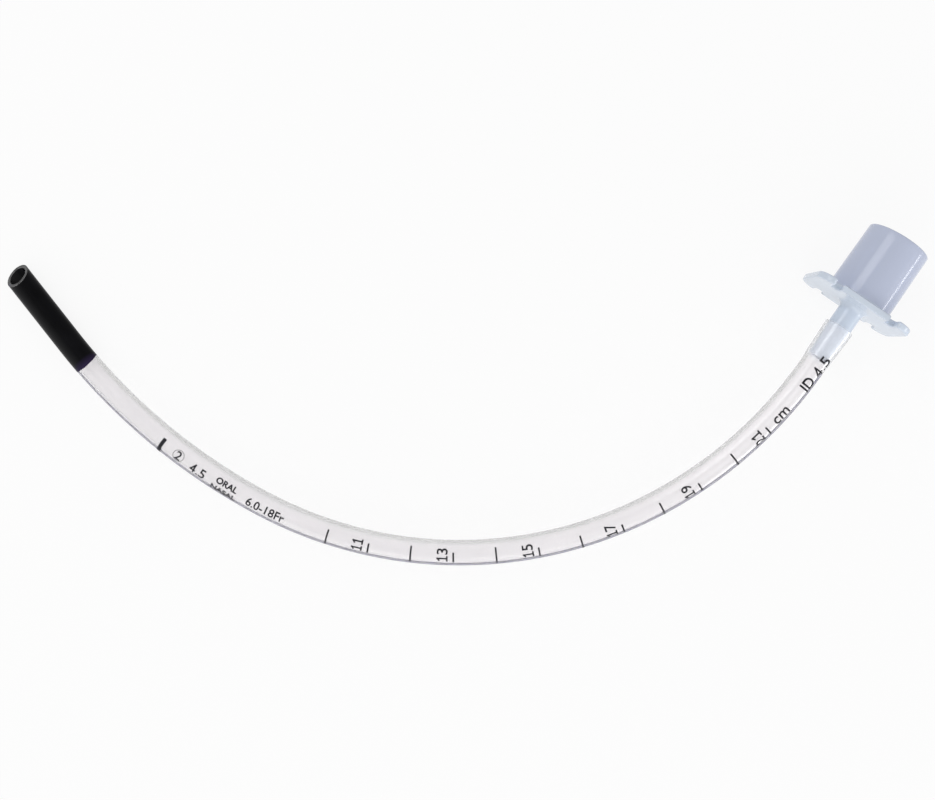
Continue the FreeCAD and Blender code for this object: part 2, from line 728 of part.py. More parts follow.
def main():
    """Build every piece, lay the part down, check it and write the files."""
    tube, route = make_tube()
    pieces = [tube, make_strand(), make_connector()]
    pieces += [make_tip_marking(route), make_cord_mark(route), make_depth_scale(route)]
    lay_down(pieces, rest_turn(route))
    check_document(pieces)
    os.makedirs("parts", exist_ok=True)
    for piece in pieces:
        piece.Shape.exportStep(f"parts/{piece.Label}.step")


main()
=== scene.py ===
"""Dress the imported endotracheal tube: wall, black tip, print, connector, light and camera."""

import logging
import math
from collections.abc import Iterable
from dataclasses import dataclass, field
from enum import Enum

import bmesh
import bpy
from mathutils import Matrix, Vector


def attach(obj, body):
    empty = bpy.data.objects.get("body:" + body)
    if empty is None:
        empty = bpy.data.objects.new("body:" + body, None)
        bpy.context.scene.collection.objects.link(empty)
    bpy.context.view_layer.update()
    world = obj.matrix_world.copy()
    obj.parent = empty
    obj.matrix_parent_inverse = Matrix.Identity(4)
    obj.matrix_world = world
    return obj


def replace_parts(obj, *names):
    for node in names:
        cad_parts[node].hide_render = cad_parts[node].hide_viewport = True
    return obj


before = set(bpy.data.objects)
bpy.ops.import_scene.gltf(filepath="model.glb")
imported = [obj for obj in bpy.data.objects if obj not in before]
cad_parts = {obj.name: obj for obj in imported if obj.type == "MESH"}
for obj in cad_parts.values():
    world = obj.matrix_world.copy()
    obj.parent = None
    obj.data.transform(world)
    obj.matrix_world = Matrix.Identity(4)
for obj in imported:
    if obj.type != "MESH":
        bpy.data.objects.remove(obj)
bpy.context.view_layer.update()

MM = 0.001
MERGE = 0.001 * MM
CREASE = 35.0
INK_THICKNESS = 0.04 * MM
BEFORE_TIP = -1.0 * MM
PAST_BEVEL = 1.2 * MM
LAID_STRAIGHT = "laid_straight"
LOG = logging.getLogger("endotracheal_tube")


class Slot(Enum):
    """Material slots of the record."""

    CLEAR = "clear_pvc"
    MOULDING = "pale_blue_polypropylene"
    INK = "black_ink"


class Turn(Enum):
    """Ways that a word can stand on the tube."""

    ALONG = "along"
    ACROSS = "across"


# The way that the tube lies


@dataclass(frozen=True)
class Bend:
    """One arc of the tube's centreline.

    Attributes:
        radius: Radius of the arc, in metres.
        angle: Turn of the arc, in degrees.
    """

    radius: float
    angle: float


@dataclass(frozen=True)
class Route:
    """The tube's centreline, and how a tube laid straight is put on it.

    A tube laid straight has X along it from the tip's point to the connector, Y towards the
    concave side of the bends and Z up.

    Attributes:
        lead: Straight run at the connector, in metres.
        bends: The arcs, from the connector to the tip.
        tip_run: Straight run at the tip, in metres.
        lift: How far the connector's end is lifted, in degrees.
        heading: Direction of the connector on the ground, in degrees.
        shift: Place of the tube's end face.
    """

    lead: float = 11.0 * MM
    bends: tuple[Bend, ...] = (
        Bend(100.5 * MM, 30.8),
        Bend(98.3 * MM, 52.5),
        Bend(141.0 * MM, 24.6),
    )
    tip_run: float = 22.4 * MM
    lift: float = 3.503
    heading: float = 55.8
    shift: tuple[float, float, float] = (87.706 * MM, 16.013 * MM, 9.765 * MM)

    @property
    def length(self) -> float:
        """Length of the centreline, in metres."""
        arcs = sum(bend.radius * math.radians(bend.angle) for bend in self.bends)
        return self.lead + arcs + self.tip_run

    @property
    def placement(self) -> Matrix:
        """The placement that lays the part on the ground."""
        turn = Matrix.Rotation(math.radians(self.heading), 4, "Z")
        lift = Matrix.Rotation(-math.radians(self.lift), 4, "Y")
        return Matrix.Translation(self.shift) @ turn @ lift

    def station(self, distance: float) -> tuple[Vector, Vector]:
        """Find a place on the centreline.

        Args:
            distance: Distance from the tip's point, in metres.

        Returns:
            The point, and the direction towards the concave side, in the part's own frame.
        """
        left = self.length - distance
        point = Vector((-min(left, self.lead), 0.0, 0.0))
        angle = math.pi
        left -= self.lead
        for bend in self.bends:
            if left <= 0.0:
                break
            turn = min(left / bend.radius, math.radians(bend.angle))
            inwards = Vector((math.sin(angle), -math.cos(angle), 0.0))
            centre = point + inwards * bend.radius
            angle -= turn
            inwards = Vector((math.sin(angle), -math.cos(angle), 0.0))
            point = centre - inwards * bend.radius
            left -= bend.radius * math.radians(bend.angle)
        if left > 0.0:
            point = point + Vector((math.cos(angle), math.sin(angle), 0.0)) * left
        return point, Vector((math.sin(angle), -math.cos(angle), 0.0))

    def lay(self, bm: bmesh.types.BMesh) -> None:
        """Put a mesh made on the straight tube on the route, and keep its straight place.

        Args:
            bm: The mesh, in the straight tube's coordinates.
        """
        kept = bm.verts.layers.float_vector.new(LAID_STRAIGHT)
        placement = self.placement
        for vert in bm.verts:
            vert[kept] = vert.co
            point, inwards = self.station(vert.co.x)
            vert.co = placement @ (point + inwards * vert.co.y + Vector((0, 0, vert.co.z)))


ROUTE = Route()


# Mesh helpers


@dataclass(frozen=True)
class Ring:
    """One section of a sleeve.

    Attributes:
        distance: Distance from the tip's point, in metres.
        radius: Radius there, in metres.
    """

    distance: float
    radius: float


def extrude_wall(
    bm: bmesh.types.BMesh, outside: list[Ring], inside: list[Ring], segments: int
) -> None:
    """Draw a closed wall round the X axis by extruding a circle from ring to ring.

    Args:
        bm: The mesh that takes the wall.
        outside: The outer sections, from the tip on.
        inside: The inner sections, from the tip on.
        segments: Number of sides of the wall.
    """
    first = outside[-1]
    rings = [*reversed(outside), *inside, first]
    start = Matrix.Translation((first.distance, 0, 0)) @ Matrix.Rotation(math.pi / 2, 4, "Y")
    made = bmesh.ops.create_circle(bm, segments=segments, radius=first.radius, matrix=start)
    edges = list({edge for vert in made["verts"] for edge in vert.link_edges})
    for before, ring in zip(rings, rings[1:]):
        geom = bmesh.ops.extrude_edge_only(bm, edges=edges)["geom"]
        verts = {item for item in geom if isinstance(item, bmesh.types.BMVert)}
        edges = [
            item
            for item in geom
            if isinstance(item, bmesh.types.BMEdge) and all(v in verts for v in item.verts)
        ]
        grow = ring.radius / before.radius
        move = Matrix.Translation((ring.distance - before.distance, 0, 0))
        place = move @ Matrix.Diagonal((1, grow, grow, 1))
        bmesh.ops.transform(bm, matrix=place, verts=list(verts))
    bmesh.ops.remove_doubles(bm, verts=bm.verts[:], dist=MERGE)


def finish_piece(
    bm: bmesh.types.BMesh,
    name: str,
    material: bpy.types.Material,
    crease: float = CREASE,
) -> bpy.types.Object:
    """Make an object of a mesh, and let it ride on the part.

    Args:
        bm: The finished mesh, in the row frame. It is freed.
        name: Name of the piece.
        material: The finish.
        crease: Angle from which an edge stays sharp, in degrees.

    Returns:
        The object.
    """
    for face in bm.faces:
        face.smooth = True
    mesh = bpy.data.meshes.new(name)
    bm.to_mesh(mesh)
    bm.free()
    mesh.set_sharp_from_angle(angle=math.radians(crease))
    mesh.materials.append(material)
    piece = bpy.data.objects.new(name, mesh)
    bpy.context.scene.collection.objects.link(piece)
    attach(piece, "root")
    LOG.info("%s: %d faces", name, len(mesh.polygons))
    return piece


# Finishes


class NodeBench:
    """Adds and joins the nodes of one tree."""

    def __init__(self, tree: bpy.types.NodeTree) -> None:
        """Keep the tree."""
        self.tree = tree

    def add(
        self, kind: str, values: dict[str | int, object] | None = None, **settings: object
    ) -> bpy.types.Node:
        """Add a node.

        Args:
            kind: Blender's name of the node type.
            values: Values of the node's unlinked inputs, by name or number.
            **settings: The node's own settings.

        Returns:
            The node.
        """
        node = self.tree.nodes.new(kind)
        for key, value in settings.items():
            setattr(node, key, value)
        for socket, value in (values or {}).items():
            node.inputs[socket].default_value = value
        return node

    def join(self, source: bpy.types.NodeSocket, target: bpy.types.NodeSocket) -> None:
        """Join an output to an input."""
        self.tree.links.new(source, target)

    def maths(self, operation: str, first: object, second: object) -> bpy.types.NodeSocket:
        """Add a Math node on two numbers or outputs.

        Args:
            operation: The node's operation.
            first: A number or an output.
            second: A number or an output.

        Returns:
            The node's output.
        """
        node = self.add("ShaderNodeMath", operation=operation)
        for socket, value in zip(node.inputs, (first, second)):
            if isinstance(value, bpy.types.NodeSocket):
                self.join(value, socket)
            else:
                socket.default_value = value
        return node.outputs[0]


def make_mottle() -> bpy.types.NodeTree:
    """Build the uneven surface that every moulded, extruded or printed plastic here has.

    Returns:
        A group with a cloudy value round 0.5, and a height that adds a fine grain to it.
    """
    tree = bpy.data.node_groups.new("plastic_mottle", "ShaderNodeTree")
    for name, kind in (("Vector", "NodeSocketVector"), ("Cloud Scale", "NodeSocketFloat")):
        tree.interface.new_socket(name=name, in_out="INPUT", socket_type=kind)
    tree.interface.new_socket(name="Grain Scale", in_out="INPUT", socket_type="NodeSocketFloat")
    for name in ("Cloud", "Height"):
        tree.interface.new_socket(name=name, in_out="OUTPUT", socket_type="NodeSocketFloat")
    bench = NodeBench(tree)
    source = bench.add("NodeGroupInput")
    target = bench.add("NodeGroupOutput")
    cloud = bench.add("ShaderNodeTexNoise", {"Detail": 3.0, "Roughness": 0.55})
    grain = bench.add("ShaderNodeTexNoise", {"Detail": 2.0, "Roughness": 0.6})
    for noise, scale in ((cloud, "Cloud Scale"), (grain, "Grain Scale")):
        bench.join(source.outputs["Vector"], noise.inputs["Vector"])
        bench.join(source.outputs[scale], noise.inputs["Scale"])
    fine = bench.maths("MULTIPLY", grain.outputs[0], 0.35)
    bench.join(cloud.outputs[0], target.inputs["Cloud"])
    bench.join(bench.maths("ADD", cloud.outputs[0], fine), target.inputs["Height"])
    return tree


MOTTLE = make_mottle()


class Place(Enum):
    """What a finish takes its pattern's coordinates from."""

    OBJECT = "object"
    STRAIGHT = "straight"


@dataclass(frozen=True)
class Plastic:
    """A finish of one plastic or ink.

    Attributes:
        name: Name of the material.
        dark: Colour where the mottle is low, linear.
        light: Colour where it is high, linear.
        roughness: Lowest and highest roughness.
        transmission: Share of light that goes through.
        ior: Index of refraction.
        specular: Specular IOR level, 0.5 for the plain index of refraction.
        lets_light: Whether light passes to what lies behind, instead of a full shadow.
        place: What the pattern follows.
        stretch: Scale of the pattern along each axis.
        cloud_scale: Scale of the cloudy part, on metres.
        grain_scale: Scale of the grain.
        bump: Depth of the bump, in metres.
    """

    name: str
    dark: tuple[float, float, float]
    light: tuple[float, float, float]
    roughness: tuple[float, float]
    transmission: float = 0.0
    ior: float = 1.5
    specular: float = 0.5
    lets_light: bool = False
    place: Place = Place.OBJECT
    stretch: tuple[float, float, float] = (1.0, 1.0, 1.0)
    cloud_scale: float = 120.0
    grain_scale: float = 2500.0
    bump: float = 0.01 * MM

    def coordinates(self, bench: NodeBench) -> bpy.types.NodeSocket:
        """The coordinates that the pattern reads."""
        if self.place is Place.STRAIGHT:
            return bench.add(
                "ShaderNodeAttribute", attribute_name=LAID_STRAIGHT, attribute_type="GEOMETRY"
            ).outputs["Vector"]
        return bench.add("ShaderNodeTexCoord").outputs["Object"]

    def colour(
        self, bench: NodeBench, cloud: bpy.types.NodeSocket, place: bpy.types.NodeSocket
    ) -> bpy.types.NodeSocket:
        """Blend the two colours by the mottle.

        Args:
            bench: The material's nodes.
            cloud: The mottle's cloudy value.
            place: The pattern's coordinates, not used here.

        Returns:
            The colour.
        """
        ramp = bench.add("ShaderNodeValToRGB")
        ramp.color_ramp.elements[0].position = 0.35
        ramp.color_ramp.elements[0].color = (*self.dark, 1.0)
        ramp.color_ramp.elements[1].position = 0.65
        ramp.color_ramp.elements[1].color = (*self.light, 1.0)
        bench.join(cloud, ramp.inputs[0])
        return ramp.outputs[0]

    def build(self) -> bpy.types.Material:
        """Build the material.

        Returns:
            The finished material.
        """
        material = bpy.data.materials.new(self.name)
        material.use_nodes = True
        material.node_tree.nodes.clear()
        bench = NodeBench(material.node_tree)
        shader = bench.add(
            "ShaderNodeBsdfPrincipled",
            {
                "IOR": self.ior,
                "Transmission Weight": self.transmission,
                "Specular IOR Level": self.specular,
            },
        )
        mapping = bench.add("ShaderNodeMapping", {"Scale": self.stretch})
        place = self.coordinates(bench)
        bench.join(place, mapping.inputs["Vector"])
        mottle = bench.add("ShaderNodeGroup", node_tree=MOTTLE)
        mottle.inputs["Cloud Scale"].default_value = self.cloud_scale
        mottle.inputs["Grain Scale"].default_value = self.grain_scale
        bench.join(mapping.outputs[0], mottle.inputs["Vector"])
        cloud = mottle.outputs["Cloud"]
        bench.join(self.colour(bench, cloud, place), shader.inputs["Base Color"])
        low, high = self.roughness
        spread = bench.maths("MULTIPLY", cloud, high - low)
        bench.join(bench.maths("ADD", spread, low), shader.inputs["Roughness"])
        bump = bench.add("ShaderNodeBump", {"Strength": 1.0, "Distance": self.bump})
        bench.join(mottle.outputs["Height"], bump.inputs["Height"])
        bench.join(bump.outputs[0], shader.inputs["Normal"])
        output = bench.add("ShaderNodeOutputMaterial")
        surface = self.open_to_light(bench, shader) if self.lets_light else shader.outputs[0]
        bench.join(surface, output.inputs["Surface"])
        return material

    def open_to_light(self, bench: NodeBench, shader: bpy.types.Node) -> bpy.types.NodeSocket:
        """Let the rays that look for a light pass through the finish.

        Args:
            bench: The material's nodes.
            shader: The finish's Principled shader.

        Returns:
            The shader to show.
        """
        passing = bench.add("ShaderNodeBsdfTransparent", {"Color": (0.93, 0.93, 0.94, 1.0)})
        mix = bench.add("ShaderNodeMixShader")
        path = bench.add("ShaderNodeLightPath")
        bench.join(path.outputs["Is Shadow Ray"], mix.inputs[0])
        bench.join(shader.outputs[0], mix.inputs[1])
        bench.join(passing.outputs[0], mix.inputs[2])
        return mix.outputs[0]


def blend_over(
    bench: NodeBench,
    value: bpy.types.NodeSocket,
    span: tuple[float, float],
    colours: tuple[object, object],
) -> bpy.types.NodeSocket:
    """Blend from one colour to another as a value rises.

    Args:
        bench: The material's nodes.
        value: The value.
        span: Where the blend starts and where it ends.
        colours: The first and the second colour, each three numbers or an output.

    Returns:
        The colour.
    """
    reach = bench.add("ShaderNodeMapRange", {"From Min": span[0], "From Max": span[1]})
    bench.join(value, reach.inputs["Value"])
    blend = bench.add("ShaderNodeMix", data_type="RGBA")
    bench.join(reach.outputs[0], blend.inputs["Factor"])
    for name, colour in zip(("A", "B"), colours):
        if isinstance(colour, bpy.types.NodeSocket):
            bench.join(colour, blend.inputs[name])
        else:
            blend.inputs[name].default_value = (*colour, 1.0)
    return blend.outputs["Result"]


@dataclass(frozen=True)
class ClearWall(Plastic):
    """The clear wall: painted shade where ink lies round it and on its concave side, painted light
    where it is stretched on the spigot.

    Attributes:
        ink_shade: Distance up to which the black field lies round the wall and its painted shade
            reaches, in metres.
        stretched: Distance from which the wall is stretched, in metres.
        shaded: Painted shade of the wall under the ink, linear.
        stretched_painted_light: Painted light, a whiter colour of the stretched wall for the light
            that does not reach the spigot under it, linear.
        concave: Where the painted shade on the concave side starts and is full, from the tube's
            axis.
        concave_painted_shade: Painted shade of the wall on the concave side, where it is seen edge
            on, linear.
    """

    ink_shade: float = 27.0 * MM
    stretched: float = ROUTE.length - 10.0 * MM
    shaded: tuple[float, float, float] = (0.01, 0.01, 0.012)
    stretched_painted_light: tuple[float, float, float] = (0.923, 0.93, 0.947)
    concave: tuple[float, float] = (2.0 * MM, 2.9 * MM)
    concave_painted_shade: tuple[float, float, float] = (0.74, 0.74, 0.735)

    def colour(
        self, bench: NodeBench, cloud: bpy.types.NodeSocket, place: bpy.types.NodeSocket
    ) -> bpy.types.NodeSocket:
        """Blend the wall's colours along the tube, with painted shade under the ink and painted
        light where it is stretched, and painted shade towards its concave side.

        Args:
            bench: The material's nodes.
            cloud: The mottle's cloudy value.
            place: The pattern's coordinates.

        Returns:
            The colour.
        """
        apart = bench.add("ShaderNodeSeparateXYZ")
        bench.join(place, apart.inputs[0])
        along = apart.outputs["X"]
        plain = super().colour(bench, cloud, place)
        # Painted shade: darker towards the concave side, where the wall is seen edge on.
        plain = blend_over(bench, apart.outputs["Y"], self.concave, (plain, self.concave_painted_shade))
        # Painted shade: the wall goes dark under the ink field.
        ink_shade = blend_over(bench, along, (self.ink_shade, self.ink_shade + 1.0 * MM), (self.shaded, plain))
        # Painted light: the stretched wall is made whiter, for the light that does not reach the
        # spigot under it.
        end = (self.stretched, self.stretched + 2.0 * MM)
        return blend_over(bench, along, end, (ink_shade, self.stretched_painted_light))


@dataclass(frozen=True)
class Moulding(Plastic):
    """The connector's plastic: painted shade in the cone, where the wall hides a hollow, and
    painted light on the spigot inside the tube.

    Attributes:
        axis: Direction out of the cone.
        cone_from: Distance along the axis at which the cone's painted shade starts, in metres.
        cone: Painted shade of the cone, a darker colour for the shade of its hollow seen through
            the wall, linear.
        spigot: Painted light on the spigot inside the tube, a lighter colour for light that does
            not reach it through the clear wall, linear.
    """

    axis: tuple[float, float, float] = (0.56103, 0.82554, 0.0611)
    cone_from: float = 7.2 * MM
    cone: tuple[float, float, float] = (0.555, 0.605, 0.76)
    spigot: tuple[float, float, float] = (0.84, 0.885, 0.96)

    def colour(
        self, bench: NodeBench, cloud: bpy.types.NodeSocket, place: bpy.types.NodeSocket
    ) -> bpy.types.NodeSocket:
        """Blend the colours along the connector: painted shade in the cone, painted light on the
        spigot.

        Args:
            bench: The material's nodes.
            cloud: The mottle's cloudy value.
            place: The pattern's coordinates.

        Returns:
            The colour.
        """
        plain = super().colour(bench, cloud, place)
        offset = bench.add("ShaderNodeVectorMath", {1: ROUTE.shift}, operation="SUBTRACT")
        bench.join(place, offset.inputs[0])
        along = bench.add("ShaderNodeVectorMath", {1: self.axis}, operation="DOT_PRODUCT")
        bench.join(offset.outputs[0], along.inputs[0])
        distance = along.outputs["Value"]
        start = (self.cone_from - 0.4 * MM, self.cone_from + 0.8 * MM)
        # Painted shade in the cone.
        with_cone_shade = blend_over(bench, distance, start, (plain, self.cone))
        # Painted light on the spigot inside the tube.
        return blend_over(bench, distance, (-1.0 * MM, 0.5 * MM), (self.spigot, with_cone_shade))


@dataclass(frozen=True)
class TipInk(Plastic):
    """The black field's ink: a painted highlight on the convex side, violet where it thins out.

    Attributes:
        edge: Distance at which the field ends, in metres.
        fade: Length on which the ink thins out, in metres.
        violet: Colour of thin ink, linear.
        convex_painted_highlight: Painted highlight on the convex side, the broad dim reflection of
            the surroundings, linear.
    """

    edge: float = 29.4 * MM
    fade: float = 1.8 * MM
    violet: tuple[float, float, float] = (0.03, 0.02, 0.06)
    convex_painted_highlight: tuple[float, float, float] = (0.022, 0.022, 0.023)

    def colour(
        self, bench: NodeBench, cloud: bpy.types.NodeSocket, place: bpy.types.NodeSocket
    ) -> bpy.types.NodeSocket:
        """Blend from black to violet towards the edge of the field, with a painted highlight on
        the convex side.

        Args:
            bench: The material's nodes.
            cloud: The mottle's cloudy value.
            place: The pattern's coordinates.

        Returns:
            The colour.
        """
        black = super().colour(bench, cloud, place)
        apart = bench.add("ShaderNodeSeparateXYZ")
        bench.join(place, apart.inputs[0])
        # Painted highlight: lighter towards the convex side.
        sides = (self.convex_painted_highlight, black)
        body = blend_over(bench, apart.outputs["Y"], (-2.6 * MM, 0.2 * MM), sides)
        end = (self.edge - self.fade, self.edge + 0.4 * MM)
        return blend_over(bench, apart.outputs["X"], end, (body, self.violet))


CLEAR_PVC = ClearWall(
    name="clear_pvc",
    dark=(0.915, 0.902, 0.912),
    light=(0.965, 0.95, 0.96),
    roughness=(0.14, 0.22),
    transmission=0.94,
    ior=1.53,
    specular=0.12,
    lets_light=True,
    place=Place.STRAIGHT,
    stretch=(0.08, 1.0, 1.0),
    cloud_scale=700.0,
    grain_scale=3000.0,
    bump=0.002 * MM,
)
RADIOPAQUE_PVC = Plastic(
    name="radiopaque_pvc",
    dark=(0.028, 0.024, 0.15),
    light=(0.045, 0.04, 0.2),
    roughness=(0.4, 0.6),
    cloud_scale=300.0,
)
POLYPROPYLENE = Moulding(
    name="pale_blue_polypropylene",
    dark=(0.67, 0.745, 0.86),
    light=(0.70, 0.775, 0.88),
    roughness=(0.11, 0.17),
    transmission=0.1,
    ior=1.49,
    cloud_scale=110.0,
    grain_scale=2000.0,
    bump=0.0015 * MM,
)
PRINT_INK = Plastic(
    name="print_ink",
    dark=(0.010, 0.010, 0.013),
    light=(0.020, 0.019, 0.025),
    roughness=(0.4, 0.65),
    specular=0.2,
    cloud_scale=900.0,
    grain_scale=6000.0,
    bump=0.006 * MM,
)
TIP_INK = TipInk(
    name="tip_ink",
    dark=(0.001, 0.001, 0.0015),
    light=(0.003, 0.003, 0.004),
    roughness=(0.25, 0.4),
    specular=0.05,
    place=Place.STRAIGHT,
    stretch=(0.3, 1.0, 1.0),
    cloud_scale=500.0,
    grain_scale=3000.0,
    bump=0.006 * MM,
)


# Sub-assemblies


@dataclass
class ClearTube:
    """The clear tube: one wall from the bevelled tip to the end stretched over the spigot.

    Attributes:
        outer_radius: Outside of the tube.
        bore_radius: Inside of the tube.
        bevel_angle: Slope of the tip, from the tube's axis, in degrees.
        rim_rounding: Rounding of the bevel's rims.
        stretched: Distance from the end, outside radius and inside radius of the stretched end.
        step: Distance between two sections.
        segments: Number of sides.
    """

    outer_radius: float = 3.0 * MM
    bore_radius: float = 2.25 * MM
    bevel_angle: float = 50.0
    rim_rounding: float = 0.12 * MM
    stretched: tuple[tuple[float, float, float], ...] = (
        (11.0 * MM, 3.0 * MM, 2.25 * MM),
        (9.8 * MM, 3.05 * MM, 2.32 * MM),
        (8.5 * MM, 3.153 * MM, 2.465 * MM),
        (4.2 * MM, 3.315 * MM, 2.665 * MM),
        (0.0, 3.473 * MM, 2.865 * MM),
    )
    step: float = 1.6 * MM
    segments: int = 96

    def rings(self, which: int) -> list[Ring]:
        """List the sections of one side of the wall.

        Args:
            which: 1 for the outside, 2 for the inside.

        Returns:
            The sections, from the tip to the connector.
        """
        radius = (self.outer_radius, self.bore_radius)[which - 1]
        start = ROUTE.length - self.stretched[0][0]
        above = self.bevel_end(self.outer_radius)
        count = round((start - above) / self.step)
        rings = [Ring(BEFORE_TIP, radius), Ring(above, radius)]
        rings += [Ring(above + (start - above) * n / count, radius) for n in range(1, count)]
        rings += [Ring(ROUTE.length - row[0], row[which]) for row in self.stretched]
        return rings

    def bevel_end(self, radius: float) -> float:
        """Distance at which a sleeve of this radius is whole all round."""
        return 2 * radius / math.tan(math.radians(self.bevel_angle)) + PAST_BEVEL

    def slope_tip(self, bm: bmesh.types.BMesh) -> list[bmesh.types.BMVert]:
        """Lay the first sections, which stand before the tip, on the slope of the bevel.

        Args:
            bm: A wall whose first sections stand before the tip's point.

        Returns:
            The corners that were moved.
        """
        run = 1 / math.tan(math.radians(self.bevel_angle))
        moved = [vert for vert in bm.verts if vert.co.x < BEFORE_TIP / 2]
        for vert in moved:
            vert.co.x = (vert.co.z + self.outer_radius) * run
        return moved

    def build(self) -> bpy.types.Object:
        """Build the tube and let it stand for the CAD's tube.

        Returns:
            The piece.
        """
        bm = bmesh.new()
        extrude_wall(bm, self.rings(1), self.rings(2), self.segments)
        tip = set(self.slope_tip(bm))
        rims = [edge for edge in bm.edges if tip.issuperset(edge.verts) and self.is_rim(edge)]
        bmesh.ops.bevel(
            bm,
            geom=rims,
            offset=self.rim_rounding,
            affect="EDGES",
            segments=3,
            profile=0.5,
            material=-1,
        )
        bmesh.ops.recalc_face_normals(bm, faces=bm.faces[:])
        ROUTE.lay(bm)
        piece = finish_piece(bm, "clear_tube", CLEAR_PVC.build())
        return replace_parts(piece, "tube")

    def is_rim(self, edge: bmesh.types.BMEdge) -> bool:
        """Is this edge part of a rim, not a line across the cut wall?"""
        radii = [math.hypot(vert.co.y, vert.co.z) for vert in edge.verts]
        return abs(radii[0] - radii[1]) < 0.05 * MM


@dataclass
class BlackTip:
    """A black sleeve at the patient end: the field of ink, and also the sleeve of painted shade
    that darkens the bore.

    Attributes:
        name: Name of the piece.
        node: CAD node that it stands for, empty for the sleeve of painted shade in the bore, which
            has none.
        inside: Radius of the sleeve's inside.
        outside: Radius of its outside.
        length: Distance at which the sleeve ends at the sides of the tube.
        bulge: How much further it reaches on top, and less far below.
        waviness: Unevenness of its edge.
        steps: Number of parts that it is made of, from the bevel to its edge.
        tube: The tube that it belongs to.
    """

    name: str = "black_tip"
    node: str = "tip_marking"
    inside: float = 3.004 * MM
    outside: float = 3.04 * MM
    length: float = 28.8 * MM
    bulge: float = 0.9 * MM
    waviness: float = 0.06 * MM
    steps: int = 14
    tube: ClearTube = field(default_factory=ClearTube)

    def edge_distance(self, vert: bmesh.types.BMVert) -> float:
        """Distance at which the sleeve ends beside this point of its edge."""
        round_tube = math.atan2(vert.co.y, vert.co.z)
        wave = math.sin(3 * round_tube + 0.7) + 0.6 * math.sin(7 * round_tube + 2.0)
        return self.length + self.bulge * math.cos(round_tube) + self.waviness * wave

    def build(self, ink: bpy.types.Material) -> None:
        """Build the sleeve, and let it stand for its CAD node if it has one.

        Args:
            ink: The black ink.
        """
        above = self.tube.bevel_end(self.outside)
        distances = [BEFORE_TIP] + [
            above + (self.length - above) * n / self.steps for n in range(self.steps + 1)
        ]
        bm = bmesh.new()
        outer, inner = (
            [Ring(place, radius) for place in distances]
            for radius in (self.outside, self.inside)
        )
        extrude_wall(bm, outer, inner, self.tube.segments)
        for vert in bm.verts:
            if vert.co.x > self.length - MERGE:
                vert.co.x = self.edge_distance(vert)
        self.tube.slope_tip(bm)
        bmesh.ops.recalc_face_normals(bm, faces=bm.faces[:])
        ROUTE.lay(bm)
        piece = finish_piece(bm, self.name, ink)
        if self.node:
            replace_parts(piece, self.node)


